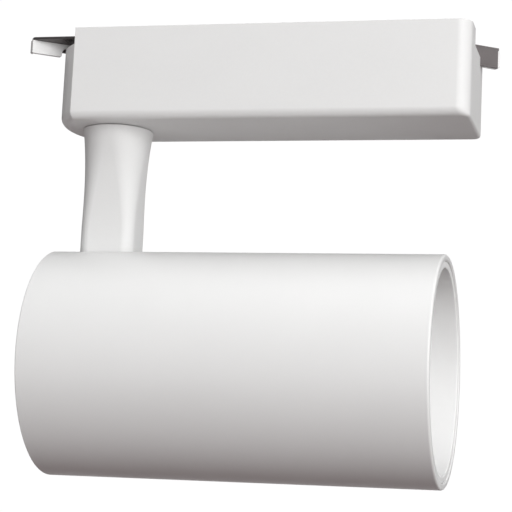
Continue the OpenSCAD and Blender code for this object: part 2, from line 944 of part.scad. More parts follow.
module head_leads() {
    color("crimson") head_frame() for (s = [-1, 1]) {
        translate([swing_reach + 0.2, lead_spread * s, wire_rise]) rotate([0, 90, 0]) {
            cylinder(r = lead_radius, h = sink_base_front + 3 - swing_reach, $fn = 24);
        }
    }
}

box_housing();
top_deck();
deck_screws();
contact_carrier();
live_contact();
neutral_contact();
earth_contact();
supply_leads();
insulation_sheet();
driver_board();
board_screws();
transformer_core();
transformer_winding();
capacitors();
line_choke();
board_parts();
output_leads();
swivel_bush();
swivel_stop_pin();
left_lock_arm();
left_lock_cap();
left_lock_dog();
left_lock_screw();
right_lock_arm();
right_lock_cap();
right_lock_dog();
right_lock_screw();
stem_arm();
swivel_nut();
swivel_washer();
swivel_stop_ring();
stem_leads();
barrel_tube();
rear_cap();
rear_cap_screws();
slot_liner();
tilt_bracket();
bracket_screws();
tilt_pin();
tilt_nut();
tilt_washers();
heat_sink();
led_board();
led_emitter();
led_holder();
holder_screws();
reflector();
front_lens();
lens_gasket();
front_ring();
head_leads();
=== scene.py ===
import json
import math

import bmesh
import bpy
from mathutils import Matrix, Vector

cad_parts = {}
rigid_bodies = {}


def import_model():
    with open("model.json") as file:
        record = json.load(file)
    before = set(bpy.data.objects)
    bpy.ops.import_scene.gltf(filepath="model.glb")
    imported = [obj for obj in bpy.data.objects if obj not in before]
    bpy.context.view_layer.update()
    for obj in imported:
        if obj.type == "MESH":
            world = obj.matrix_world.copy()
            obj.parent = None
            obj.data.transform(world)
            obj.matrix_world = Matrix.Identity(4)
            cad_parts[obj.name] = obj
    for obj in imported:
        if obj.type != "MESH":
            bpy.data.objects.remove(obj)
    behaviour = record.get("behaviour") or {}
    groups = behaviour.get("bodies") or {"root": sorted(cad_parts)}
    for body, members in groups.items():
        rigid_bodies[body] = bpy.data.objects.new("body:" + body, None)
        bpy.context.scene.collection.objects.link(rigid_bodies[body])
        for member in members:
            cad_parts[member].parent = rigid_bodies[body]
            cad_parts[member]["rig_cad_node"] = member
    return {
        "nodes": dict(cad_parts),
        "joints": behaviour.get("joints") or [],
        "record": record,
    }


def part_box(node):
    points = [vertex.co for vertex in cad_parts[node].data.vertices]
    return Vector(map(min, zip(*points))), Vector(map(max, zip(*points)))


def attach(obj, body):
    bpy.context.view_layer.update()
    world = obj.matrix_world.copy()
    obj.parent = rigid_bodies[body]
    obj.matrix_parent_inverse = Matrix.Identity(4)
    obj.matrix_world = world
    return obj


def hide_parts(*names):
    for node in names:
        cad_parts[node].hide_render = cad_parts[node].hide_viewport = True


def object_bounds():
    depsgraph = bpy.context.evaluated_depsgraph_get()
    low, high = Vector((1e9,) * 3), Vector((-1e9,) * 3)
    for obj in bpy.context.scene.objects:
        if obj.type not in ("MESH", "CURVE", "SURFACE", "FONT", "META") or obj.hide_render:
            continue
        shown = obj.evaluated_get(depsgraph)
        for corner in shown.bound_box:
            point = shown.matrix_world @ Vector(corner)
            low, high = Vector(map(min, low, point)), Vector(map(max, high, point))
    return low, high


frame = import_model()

# Track spotlight: a driver box, two lock levers, a swivel stem and a tilting lamp head.
# Everything is in metres, in the CAD frame: X along the track, Y across it, Z up.

MM = 0.001
SPECK = 0.000002
NODES = frame["nodes"]
JOINTS = {joint["name"]: joint for joint in frame["joints"]}


def clear_defaults():
    """Removes what a new Blender file holds, so that only the frame is left."""
    for obj in list(bpy.data.objects):
        if obj.type in {"CAMERA", "LIGHT"} or (obj.type == "MESH" and "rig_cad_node" not in obj):
            bpy.data.objects.remove(obj)


clear_defaults()
cad_low, cad_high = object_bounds()

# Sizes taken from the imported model
housing_low, housing_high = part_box("box_housing")
tube_low, tube_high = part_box("barrel_tube")
bezel_low, bezel_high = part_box("front_ring")
stem_low, stem_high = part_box("stem_arm")
mirror_low, mirror_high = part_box("reflector")
deck_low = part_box("top_deck")[0]
TILT = Vector(JOINTS["tilt"]["pos_m"])
SWIVEL = Vector(JOINTS["swivel"]["pos_m"])


# ---------------------------------------------------------------- mesh helpers

def object_from(bm, name):
    """Makes a smooth-shaded object of a bmesh."""
    bmesh.ops.recalc_face_normals(bm, faces=bm.faces)
    mesh = bpy.data.meshes.new(name)
    bm.to_mesh(mesh)
    bm.free()
    for polygon in mesh.polygons:
        polygon.use_smooth = True
    obj = bpy.data.objects.new(name, mesh)
    bpy.context.scene.collection.objects.link(obj)
    return obj


def loft(name, rings, loop=False):
    """Joins rings of equal length into a closed skin. With loop, the last ring meets the first."""
    bm = bmesh.new()
    rows = [[bm.verts.new(point) for point in ring] for ring in rings]
    count = len(rows[0])
    pairs = list(zip(rows[:-1], rows[1:]))
    if loop:
        pairs.append((rows[-1], rows[0]))
    else:
        bm.faces.new(rows[0])
        bm.faces.new(list(reversed(rows[-1])))
    for low, high in pairs:
        for i in range(count):
            j = (i + 1) % count
            bm.faces.new((low[i], low[j], high[j], high[i]))
    return object_from(bm, name)


def arc(centre, radius, start, end, steps):
    """Points of a circle's arc in a plane, from one angle in degrees to another."""
    points = []
    for i in range(steps + 1):
        angle = math.radians(start + (end - start) * i / steps)
        points.append((centre[0] + radius * math.cos(angle), centre[1] + radius * math.sin(angle)))
    return points


def lathe(name, profile, centre, segments):
    """Turns a closed profile of (x, radius) points about an axis along X."""
    rings = []
    for x, radius in profile:
        ring = []
        for i in range(segments):
            angle = 2 * math.pi * (i + 0.5) / segments
            y = centre.y + radius * math.sin(angle)
            z = centre.z + radius * math.cos(angle)
            ring.append((x, y, z))
        rings.append(ring)
    return loft(name, rings, loop=True)


def block(low, high):
    """A plain box between two corners, which is then cut out of a piece or joined to it."""
    bm = bmesh.new()
    bmesh.ops.create_cube(bm, size=1)
    for vert in bm.verts:
        vert.co = Vector([low[k] if vert.co[k] < 0 else high[k] for k in range(3)])
    return object_from(bm, "cutter")


def prism(points, axis, low, high):
    """Stretches an outline along Y, from (x, z) points, or along Z, from (x, y) points."""
    bm = bmesh.new()
    rows = []
    for level in (low, high):
        if axis == "Y":
            rows.append([bm.verts.new((a, level, b)) for a, b in points])
        else:
            rows.append([bm.verts.new((a, b, level)) for a, b in points])
    bm.faces.new(rows[0])
    bm.faces.new(list(reversed(rows[1])))
    for i in range(len(points)):
        j = (i + 1) % len(points)
        bm.faces.new((rows[0][i], rows[0][j], rows[1][j], rows[1][i]))
    return object_from(bm, "prism")


def cut(obj, cutters, operation="DIFFERENCE"):
    """Cuts the object by the others for good, or joins them to it, or keeps what they share."""
    for cutter in cutters:
        step = obj.modifiers.new("cut", "BOOLEAN")
        step.operation = operation
        step.solver = "EXACT"
        step.object = cutter
    bpy.context.view_layer.update()
    graph = bpy.context.evaluated_depsgraph_get()
    mesh = bpy.data.meshes.new_from_object(obj.evaluated_get(graph))
    obj.modifiers.clear()
    obj.data = mesh
    for cutter in cutters:
        bpy.data.objects.remove(cutter)
    for polygon in mesh.polygons:
        polygon.use_smooth = True


def weld(obj):
    """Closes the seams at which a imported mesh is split."""
    step = obj.modifiers.new("weld", "WELD")
    step.merge_threshold = SPECK


def soften(obj, width, segments=2, angle=32, packed=False):
    """Rounds the hard edges and evens out the shading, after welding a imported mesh's seams."""
    if packed:
        weld(obj)
        step = obj.modifiers.new("flats", "DECIMATE")
        step.decimate_type = "DISSOLVE"
        step.angle_limit = math.radians(0.5)
    step = obj.modifiers.new("edges", "BEVEL")
    step.width = width
    step.segments = segments
    step.limit_method = "ANGLE"
    step.angle_limit = math.radians(angle)
    step.use_clamp_overlap = True
    step = obj.modifiers.new("shading", "WEIGHTED_NORMAL")
    step.keep_sharp = False
    step.weight = 50


# ---------------------------------------------------------------- materials

class Recipe:
    """A short way to put a node material together."""

    def __init__(self, name):
        self.material = bpy.data.materials.new(name)
        self.material.use_nodes = True
        self.nodes = self.material.node_tree.nodes
        self.links = self.material.node_tree.links
        self.shader = self.nodes["Principled BSDF"]
        self.place = self.nodes.new("ShaderNodeTexCoord").outputs["Object"]

    def link(self, source, target):
        """Joins an output to an input."""
        self.links.new(source, target)

    def noise(self, scale, detail=3.0, rough=0.55, stretch=None):
        """Noise of about one feature per 1/scale metres, stretched along an axis if asked."""
        node = self.nodes.new("ShaderNodeTexNoise")
        node.inputs["Scale"].default_value = scale
        node.inputs["Detail"].default_value = detail
        node.inputs["Roughness"].default_value = rough
        if stretch:
            mapping = self.nodes.new("ShaderNodeMapping")
            mapping.inputs["Scale"].default_value = stretch
            self.link(self.place, mapping.inputs["Vector"])
            self.link(mapping.outputs["Vector"], node.inputs["Vector"])
        else:
            self.link(self.place, node.inputs["Vector"])
        return node.outputs["Fac"]

    def cells(self, scale):
        """Distance to cell centres, for a leathery or dimpled grain."""
        node = self.nodes.new("ShaderNodeTexVoronoi")
        node.inputs["Scale"].default_value = scale
        self.link(self.place, node.inputs["Vector"])
        return node.outputs["Distance"]

    def spread(self, value, low, high, out_low=0.0, out_high=1.0):
        """Maps a value's range to another, clamped."""
        node = self.nodes.new("ShaderNodeMapRange")
        node.inputs["From Min"].default_value = low
        node.inputs["From Max"].default_value = high
        node.inputs["To Min"].default_value = out_low
        node.inputs["To Max"].default_value = out_high
        self.link(value, node.inputs["Value"])
        return node.outputs["Result"]

    def maths(self, operation, first, second):
        """Combines two values, each a number or a socket."""
        node = self.nodes.new("ShaderNodeMath")
        node.operation = operation
        for socket, value in zip(node.inputs, (first, second)):
            if isinstance(value, (int, float)):
                socket.default_value = value
            else:
                self.link(value, socket)
        return node.outputs["Value"]

    def blend(self, factor, first, second):
        """Mixes two colours, each a tuple or a socket."""
        node = self.nodes.new("ShaderNodeMix")
        node.data_type = "RGBA"
        self.link(factor, node.inputs["Factor"])
        for name, value in (("A", first), ("B", second)):
            socket = [s for s in node.inputs if s.name == name and s.type == "RGBA"][0]
            if isinstance(value, tuple):
                socket.default_value = (*value, 1.0)
            else:
                self.link(value, socket)
        return [s for s in node.outputs if s.type == "RGBA"][0]

    def edge(self, radius):
        """One along convex and concave edges, nought on open faces."""
        bevel = self.nodes.new("ShaderNodeBevel")
        bevel.samples = 4
        bevel.inputs["Radius"].default_value = radius
        geometry = self.nodes.new("ShaderNodeNewGeometry")
        dot = self.nodes.new("ShaderNodeVectorMath")
        dot.operation = "DOT_PRODUCT"
        self.link(bevel.outputs["Normal"], dot.inputs[0])
        self.link(geometry.outputs["Normal"], dot.inputs[1])
        return self.spread(dot.outputs["Value"], 0.995, 0.85)

    def bump(self, height, depth, strength=1.0):
        """Raises the surface by up to depth metres."""
        node = self.nodes.new("ShaderNodeBump")
        node.inputs["Distance"].default_value = depth
        node.inputs["Strength"].default_value = strength
        self.link(height, node.inputs["Height"])
        self.link(node.outputs["Normal"], self.shader.inputs["Normal"])

    def colour(self, socket):
        """Feeds the surface's colour."""
        self.link(socket, self.shader.inputs["Base Color"])

    def roughness(self, socket):
        """Feeds the surface's roughness."""
        self.link(socket, self.shader.inputs["Roughness"])

    def set(self, **values):
        """Sets values that are the same all over, by the shader's own input names."""
        for name, value in values.items():
            self.shader.inputs[name.replace("_", " ")].default_value = value


def shaded(colour, factor):
    """The colour made darker or lighter."""
    return tuple(min(1.0, channel * factor) for channel in colour)


def coated(name, colour, rough=0.42, grain=1700, depth=0.00001, edge_radius=0.0005, gloss=0.45):
    """Powder coat: a fine orange peel, faint clouding, and edges rubbed a little smoother."""
    recipe = Recipe(name)
    clouds = recipe.spread(recipe.noise(28, 4), 0.3, 0.7)
    specks = recipe.spread(recipe.noise(grain * 1.6, 2), 0.35, 0.75)
    edge = recipe.edge(edge_radius)
    base = recipe.blend(clouds, shaded(colour, 0.975), shaded(colour, 1.0))
    speckled = recipe.blend(recipe.maths("MULTIPLY", specks, 0.35), base, shaded(colour, 1.02))
    recipe.colour(recipe.blend(recipe.maths("MULTIPLY", edge, 0.35), speckled, shaded(colour, 1.04)))
    uneven = recipe.spread(recipe.noise(90, 3), 0.25, 0.75, rough - 0.04, rough + 0.05)
    recipe.roughness(recipe.maths("SUBTRACT", uneven, recipe.maths("MULTIPLY", edge, 0.1)))
    recipe.bump(recipe.maths("ADD", recipe.noise(grain, 2), recipe.cells(grain * 0.7)), depth, 0.5)
    recipe.set(Specular_IOR_Level=gloss)
    return recipe.material


def moulded(name, colour, rough=0.46, grain=2400, depth=0.000008, gloss=0.42, edge_radius=0.0005):
    """Moulded plastic: spark-eroded grain, faint flow clouding and slightly polished edges."""
    recipe = Recipe(name)
    flow = recipe.spread(recipe.noise(16, 4, 0.6, (1.0, 2.5, 2.0)), 0.3, 0.7)
    fine = recipe.spread(recipe.noise(grain * 0.5, 3), 0.3, 0.7)
    edge = recipe.edge(edge_radius)
    base = recipe.blend(flow, shaded(colour, 0.97), shaded(colour, 1.0))
    grained = recipe.blend(recipe.maths("MULTIPLY", fine, 0.3), base, shaded(colour, 1.025))
    recipe.colour(recipe.blend(recipe.maths("MULTIPLY", edge, 0.35), grained, shaded(colour, 1.05)))
    uneven = recipe.spread(recipe.noise(70, 3), 0.25, 0.75, rough - 0.04, rough + 0.05)
    recipe.roughness(recipe.maths("SUBTRACT", uneven, recipe.maths("MULTIPLY", edge, 0.12)))
    recipe.bump(recipe.noise(grain, 4), depth, 0.6)
    recipe.set(Specular_IOR_Level=gloss)
    return recipe.material


def metal(name, colour, rough=0.32, brush=(1.0, 14.0, 14.0), scale=420, depth=0.000006, dull=0.7):
    """Brushed, plated or drawn metal: fine lines one way, patches of dullness, bright edges."""
    recipe = Recipe(name)
    lines = recipe.noise(scale, 5, 0.6, brush)
    patches = recipe.spread(recipe.noise(60, 4), 0.3, 0.7)
    edge = recipe.edge(0.0004)
    base = recipe.blend(patches, shaded(colour, dull), colour)
    lined = recipe.blend(recipe.spread(lines, 0.3, 0.7, 0.0, 0.4), base, shaded(colour, 1.15))
    recipe.colour(recipe.blend(recipe.maths("MULTIPLY", edge, 0.6), lined, shaded(colour, 1.35)))
    recipe.roughness(recipe.spread(lines, 0.3, 0.7, rough - 0.07, rough + 0.1))
    recipe.bump(lines, depth, 0.6)
    recipe.set(Metallic=1.0)
    return recipe.material


def glass(name):
    """Clear tempered glass with the faintest smear on it."""
    recipe = Recipe(name)
    smear = recipe.noise(35, 4)
    recipe.colour(recipe.blend(smear, (0.975, 0.99, 0.985), (1.0, 1.0, 1.0)))
    recipe.roughness(recipe.spread(smear, 0.35, 0.75, 0.0, 0.05))
    recipe.bump(recipe.noise(12, 1), 0.00001, 0.1)
    recipe.set(Transmission_Weight=1.0, IOR=1.46)
    return recipe.material


def mirror(name):
    """Bright-coated reflector: nearly a mirror, with faint draw lines and haze."""
    recipe = Recipe(name)
    haze = recipe.noise(120, 4)
    recipe.colour(recipe.blend(haze, (0.86, 0.87, 0.88), (0.93, 0.93, 0.94)))
    recipe.roughness(recipe.spread(haze, 0.3, 0.7, 0.06, 0.16))
    recipe.bump(recipe.noise(900, 3), 0.000004, 0.4)
    recipe.set(Metallic=1.0)
    return recipe.material


def phosphor(name):
    """The light's yellow phosphor: soft, slightly cloudy silicone over the chips."""
    recipe = Recipe(name)
    clouds = recipe.noise(320, 4)
    dots = recipe.spread(recipe.cells(700), 0.2, 0.6)
    base = recipe.blend(clouds, (0.86, 0.66, 0.12), (0.95, 0.80, 0.24))
    recipe.colour(recipe.blend(recipe.maths("MULTIPLY", dots, 0.3), base, (0.98, 0.88, 0.45)))
    recipe.roughness(recipe.spread(clouds, 0.3, 0.7, 0.22, 0.4))
    recipe.bump(recipe.cells(700), 0.00004, 0.4)
    recipe.set(Subsurface_Weight=0.15, Subsurface_Radius=(0.002, 0.001, 0.0005))
    return recipe.material


def board(name, colour, rough=0.35):
    """Solder mask over buried tracks, which show as slightly raised, lighter paths."""
    recipe = Recipe(name)
    tracks = recipe.spread(recipe.noise(220, 1, 0.4, (1.0, 3.0, 1.0)), 0.5, 0.53)
    fine = recipe.noise(1500, 3)
    recipe.colour(recipe.blend(tracks, shaded(colour, 0.85), shaded(colour, 1.15)))
    recipe.roughness(recipe.spread(fine, 0.3, 0.7, rough - 0.06, rough + 0.08))
    recipe.bump(recipe.maths("ADD", tracks, recipe.maths("MULTIPLY", fine, 0.3)), 0.00004, 0.5)
    return recipe.material


def rubbery(name, colour, rough=0.62):
    """Extruded or moulded rubber: fine drag lines, a dusty bloom and no sharp gloss."""
    recipe = Recipe(name)
    drag = recipe.noise(900, 4, 0.6, (1.0, 1.0, 0.3))
    bloom = recipe.spread(recipe.noise(80, 4), 0.35, 0.75)
    base = recipe.blend(bloom, colour, tuple(min(1.0, c * 0.85 + 0.04) for c in colour))
    recipe.colour(recipe.blend(recipe.spread(drag, 0.3, 0.7, 0.0, 0.3), base, shaded(colour, 1.2)))
    recipe.roughness(recipe.spread(drag, 0.3, 0.7, rough - 0.08, rough + 0.1))
    recipe.bump(drag, 0.00003, 0.5)
    recipe.set(Sheen_Weight=0.15)
    return recipe.material


def wound(name, colour, pitch=0.0009, rough=0.35):
    """Wire or tape wound in turns, each a ridge of its own, with painted shade in the grooves between
    turns and painted light on their crests.
    """
    recipe = Recipe(name)
    wave = recipe.nodes.new("ShaderNodeTexWave")
    wave.inputs["Scale"].default_value = 0.314 / pitch
    wave.inputs["Distortion"].default_value = 0.4
    recipe.link(recipe.place, wave.inputs["Vector"])
    turns = wave.outputs["Fac"]
    fine = recipe.noise(800, 3)
    # Painted shade and light: the colour is darker in the grooves between turns and lighter on their
    # crests.
    recipe.colour(recipe.blend(turns, shaded(colour, 0.6), shaded(colour, 1.1)))
    recipe.roughness(recipe.spread(fine, 0.3, 0.7, rough - 0.05, rough + 0.1))
    recipe.bump(turns, 0.00015, 0.6)
    return recipe.material


def papery(name, colour):
    """Pressed insulating paper: fibres, mottling and a dry surface."""
    recipe = Recipe(name)
    fibres = recipe.noise(700, 6, 0.7, (1.0, 5.0, 1.0))
    mottle = recipe.noise(60, 4)
    base = recipe.blend(mottle, shaded(colour, 0.9), colour)
    recipe.colour(recipe.blend(recipe.spread(fibres, 0.35, 0.7, 0.0, 0.5), base, shaded(colour, 1.12)))
    recipe.roughness(recipe.spread(fibres, 0.3, 0.7, 0.62, 0.82))
    recipe.bump(fibres, 0.00003, 0.6)
    return recipe.material


WHITE = (0.80, 0.80, 0.795)
PLASTIC = (0.78, 0.78, 0.775)

LOOKS = {
    "white_enamel": coated("white_enamel", WHITE),
    "white_plastic": moulded("white_plastic", PLASTIC),
    "dark_steel": metal("dark_steel", (0.17, 0.155, 0.155), 0.4, (14.0, 1.0, 14.0)),
    "zinc_steel": metal("zinc_steel", (0.62, 0.62, 0.60), 0.3, (5.0, 5.0, 5.0)),
    "contact_plastic": moulded("contact_plastic", (0.035, 0.035, 0.038), 0.42, 1800),
    "contact_brass": metal("contact_brass", (0.78, 0.58, 0.24), 0.22, (14.0, 14.0, 1.0)),
    "lead_insulation": rubbery("lead_insulation", (0.42, 0.05, 0.04), 0.45),
    "insulating_paper": papery("insulating_paper", (0.70, 0.62, 0.44)),
    "green_board": board("green_board", (0.02, 0.16, 0.06)),
    "ferrite": moulded("ferrite", (0.05, 0.05, 0.055), 0.6, 1400, 0.00002),
    "yellow_tape": wound("yellow_tape", (0.72, 0.50, 0.05), 0.0012, 0.4),
    "capacitor_sleeve": moulded("capacitor_sleeve", (0.03, 0.035, 0.10), 0.28, 900),
    "copper_wire": wound("copper_wire", (0.62, 0.22, 0.08), 0.0009, 0.25),
    "component_plastic": moulded("component_plastic", (0.03, 0.03, 0.03), 0.35, 1500),
    "bush_plastic": moulded("bush_plastic", (0.62, 0.57, 0.45), 0.45, 1600),
    "bare_aluminium": metal("bare_aluminium", (0.72, 0.72, 0.74), 0.34, (1.0, 12.0, 12.0)),
    "white_board": board("white_board", (0.78, 0.78, 0.75), 0.3),
    "phosphor": phosphor("phosphor"),
    "bright_reflector": mirror("bright_reflector"),
    "clear_lens": glass("clear_lens"),
    "grey_rubber": rubbery("grey_rubber", (0.11, 0.11, 0.115)),
}

# The barrel is turned aluminium under its coat, so its grain is a little finer than the stem's.
BARREL_COAT = coated("barrel_coat", WHITE, 0.40, 2000, 0.000009)
# The stem's coat is the white made 5% darker all over: painted shade.
CAST_COAT_PAINTED_SHADE = coated("cast_coat_painted_shade", shaded(WHITE, 0.95), 0.58, 1300, 0.000014, gloss=0.28)
# The front ring's coat is a lighter copy of the white: painted light, so that the inside of the barrel's
# mouth looks brightly lit.
RING_COAT_PAINTED_LIGHT = coated("ring_coat_painted_light", (0.92, 0.92, 0.915), 0.38, 2000, 0.000009)
TAB_PLASTIC = moulded("tab_plastic", PLASTIC, 0.40, 2600)


def paint(obj, material):
    """Gives the whole object one material."""
    if not obj.material_slots:
        obj.data.materials.append(material)
        return
    for place in obj.material_slots:
        place.material = material


def finish_piece(obj, body, node, material):
    """Puts a new piece on its body, in place of a CAD node."""
    paint(obj, material)
    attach(obj, body)
    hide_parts(node)


# ---------------------------------------------------------------- driver box

END_BULGE = 9 * MM
CORNER = 5 * MM
WALL = 2 * MM
FLOOR = 2.2 * MM
BOTTOM_ROUND = 3.2 * MM
END_ROUND = 1.1 * MM
FLOOR_FILLET = 1.2 * MM
SWIVEL_BORE = 8 * MM
SWIVEL_BOSS = 10.5 * MM
BOSS_HEIGHT = 1.3 * MM
WINDOW_Z = deck_low.z - 0.3 * MM
WINDOW_SIDE = 7.5 * MM
LEFT_WINDOW_DEPTH = 8.9 * MM


def box_outline(inset, z, end_inset=None):
    """The box seen from above at one height, drawn in by inset: corners, sides and bulged end."""
    half_depth = housing_high.y
    right = housing_high.x - (inset if end_inset is None else end_inset)
    side = half_depth - inset
    bulge = (half_depth ** 2 + END_BULGE ** 2) / (2 * END_BULGE)
    centre_x = housing_low.x + bulge
    radius = bulge - inset
    turn = max(CORNER - inset, 0.4 * MM)
    start = math.degrees(math.asin(side / radius))
    left = arc((centre_x, 0), radius, 180 - start, 180 + start, 40)
    from_right = [right - turn + (left[0][0] - right + turn) * i / 12 for i in range(1, 12)]
    points = arc((right - turn, -side + turn), turn, -90, 0, 10)
    points += arc((right - turn, side - turn), turn, 0, 90, 10)
    points += [(x, side) for x in from_right]
    points += left
    points += [(x, -side) for x in reversed(from_right)]
    return [(x, y, z) for x, y in points]


def circle_ring(like, centre, radius, z):
    """A circle whose points lie in the same directions from its centre as another ring's."""
    ring = []
    for x, y, _ in like:
        angle = math.atan2(y - centre.y, x - centre.x)
        ring.append((centre.x + radius * math.cos(angle), centre.y + radius * math.sin(angle), z))
    return ring


def make_housing():
    """The box's shell: rounded along its bottom edge, with windows for the lock levers."""
    top = housing_high.z
    bottom = housing_low.z
    floor = bottom + FLOOR
    rings = [box_outline(0, top)]
    for i in range(1, 6):
        rings.append(box_outline(0, top + (bottom + BOTTOM_ROUND - top) * i / 5))
    for i in range(1, 13):
        angle = math.radians(90 * i / 12)
        inset = BOTTOM_ROUND * (1 - math.cos(angle))
        height = BOTTOM_ROUND * (1 - math.sin(angle))
        near = max(0.0, 1 - height / END_ROUND)
        end_inset = END_ROUND * (1 - math.sqrt(1 - near ** 2))
        rings.append(box_outline(inset, bottom + height, end_inset))
    under = rings[-1]
    boss_top = floor + BOSS_HEIGHT
    boss = ((SWIVEL_BORE, bottom), (SWIVEL_BORE, boss_top), (SWIVEL_BOSS, boss_top), (SWIVEL_BOSS, floor))
    for radius, z in boss:
        rings.append(circle_ring(under, SWIVEL, radius, z))
    rings.append(box_outline(WALL + FLOOR_FILLET, floor))
    rings.append(box_outline(WALL, floor + FLOOR_FILLET))
    rings.append(box_outline(WALL, top))
    shell = loft("housing_shell", rings, loop=True)
    side = housing_high.y + MM
    above = top + 8 * MM
    left = block(
        (housing_low.x - MM, -side, WINDOW_Z), (housing_low.x + LEFT_WINDOW_DEPTH, WINDOW_SIDE, above)
    )
    right = block(
        (housing_high.x - WALL, -WINDOW_SIDE, WINDOW_Z), (housing_high.x + MM, side, above)
    )
    cut(shell, [left, right])
    soften(shell, 0.55 * MM, 3, 24)
    finish_piece(shell, "adapter_box", "box_housing", LOOKS["white_plastic"])


DECK_POST = Vector((61 * MM, 15.5 * MM))
DECK_POST_RADIUS = 2.8 * MM
BOARD_MARGIN = 5 * MM
BOARD_POST_Y = 12.5 * MM
BOARD_POST_RADIUS = 2.5 * MM
PILOT_RADIUS = 1.3 * MM
PILOT_DEPTH = 6 * MM


def make_posts():
    """Screw posts of the deck and standoffs of the board, each with its pilot hole."""
    bm = bmesh.new()
    bottom = housing_low.z + FLOOR - 0.5 * MM
    board_low, board_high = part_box("driver_board")
    stands = []
    for x in (-DECK_POST.x, DECK_POST.x):
        for y in (-DECK_POST.y, DECK_POST.y):
            stands.append((x, y, DECK_POST_RADIUS, deck_low.z, deck_low.z - PILOT_DEPTH))
    for x in (board_low.x + BOARD_MARGIN, board_high.x - BOARD_MARGIN):
        for y in (-BOARD_POST_Y, BOARD_POST_Y):
            stands.append((x, y, BOARD_POST_RADIUS, board_low.z, bottom))
    sides = 40
    for x, y, radius, top, pilot_foot in stands:
        steps = [(radius + 0.5 * MM, bottom), (radius, bottom + MM), (radius, top)]
        steps += [(PILOT_RADIUS, top), (PILOT_RADIUS, pilot_foot)]
        rows = []
        for r, z in steps:
            circle = arc((x, y), r, 0, 360, sides)[:-1]
            rows.append([bm.verts.new((a, b, z)) for a, b in circle])
        for low, high in zip(rows[:-1], rows[1:]):
            for i in range(sides):
                j = (i + 1) % sides
                bm.faces.new((low[i], low[j], high[j], high[i]))
        bm.faces.new(list(reversed(rows[0])))
        bm.faces.new(rows[-1])
    posts = object_from(bm, "housing_posts")
    soften(posts, 0.2 * MM, 2)
    finish_piece(posts, "adapter_box", "box_housing", LOOKS["white_plastic"])


# ---------------------------------------------------------------- lock levers

TAB_ANGLE = math.radians(37)
SKIN = 1.4 * MM
STEEL = 1.0 * MM
WEB_DEPTH = SKIN + STEEL
WEB_STOP = 74 * MM
RISER = 69.6 * MM
ARM_TOP = deck_low.z - 0.1 * MM
ARM_FOOT = ARM_TOP - 1.4 * MM
ARCH = 2 * MM
TONGUE_DROP = 1.6 * MM
TIP_ROUND = 0.6 * MM
END_WALL = 0.8 * MM
HUB_RADIUS = 6 * MM
ARM_BEND = 66 * MM
FLAT_BACK = -7.4 * MM
FLAT_FRONT = -13.3 * MM
STEP_END = -RISER - 1.2 * MM
HEM = 0.35 * MM
WEB_LAP = 0.5 * MM
WEB_NOTCH = 2.8 * MM
RIB_START = -74.8 * MM
RIB_PITCH = 1.2 * MM
RIB_WIDTH = 0.5 * MM
RIB_DEPTH = 0.3 * MM
RIB_FRONT = -14.4 * MM
RIB_BACK = -9.8 * MM


class Tab:
    """Where the parts of one finger tab lie, drawn as if it were on the left."""

    def __init__(self, side):
        cap_low, cap_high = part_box(side + "_lock_cap")
        arm_low, arm_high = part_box(side + "_lock_arm")
        self.side = side
        self.tip = max(-cap_low.x, cap_high.x) - WEB_DEPTH * math.sin(TAB_ANGLE)
        self.front = -max(-arm_low.y, arm_high.y)
        self.top = arm_high.z
        self.shelf = arm_high.z - STEEL
        self.bottom = cap_low.z
        self.foot = self.run(housing_high.x + 0.4 * MM)
        self.end = self.run(WEB_STOP)

    def run(self, x):
        """How far along the web a given distance from the middle of the box lies."""
        return (self.tip - x) / math.cos(TAB_ANGLE)

    def plan(self, along, behind):
        """Plan position of a point along the web and behind its front face."""
        turned = Matrix.Rotation(TAB_ANGLE, 2) @ Vector((along, behind))
        return (turned.x - self.tip, turned.y + self.front)

    def set_in_place(self, obj):
        """Turns a piece that was drawn along the web to its place in plan."""
        place = Matrix.Translation((-self.tip, self.front, 0)) @ Matrix.Rotation(TAB_ANGLE, 4, "Z")
        obj.data.transform(place)

    def finish(self, obj, name, node, slot, material):
        """Turns the piece half round if it belongs on the right, and puts it on its lever."""
        obj.name = self.side + name
        if self.side == "right":
            obj.data.transform(Matrix.Rotation(math.pi, 4, "Z"))
        finish_piece(obj, self.side + "_lock", self.side + node, material)


def make_cap(tab):
    """The moulded skin of the web: an arch under its tongue and a wall round the web's end."""
    tongue = tab.shelf - TONGUE_DROP
    low = tab.bottom + TIP_ROUND
    outline = [(tab.end, tab.shelf), (tab.end, tongue)]
    outline += arc((tab.foot + ARCH, tongue - ARCH), ARCH, 90, 180, 12)
    outline += arc((tab.foot - TIP_ROUND, low), TIP_ROUND, 0, -90, 5)
    outline += arc((TIP_ROUND, low), TIP_ROUND, -90, -180, 5)
    outline += [(0, tab.shelf)]
    cap = prism(outline, "Y", -MM, 4 * MM)
    plan = [(0.35 * MM, 0), (tab.end, 0), (tab.end, SKIN), (END_WALL, SKIN), (END_WALL, WEB_DEPTH)]
    plan += [(0, WEB_DEPTH), (0, 0.35 * MM), (0.1 * MM, 0.1 * MM)]
    cut(cap, [prism(plan, "Z", tab.bottom - MM, tab.shelf + MM)], "INTERSECT")
    tab.set_in_place(cap)
    soften(cap, 0.22 * MM, 3, 35)
    tab.finish(cap, "_finger_tab", "_lock_cap", "white_plastic", TAB_PLASTIC)


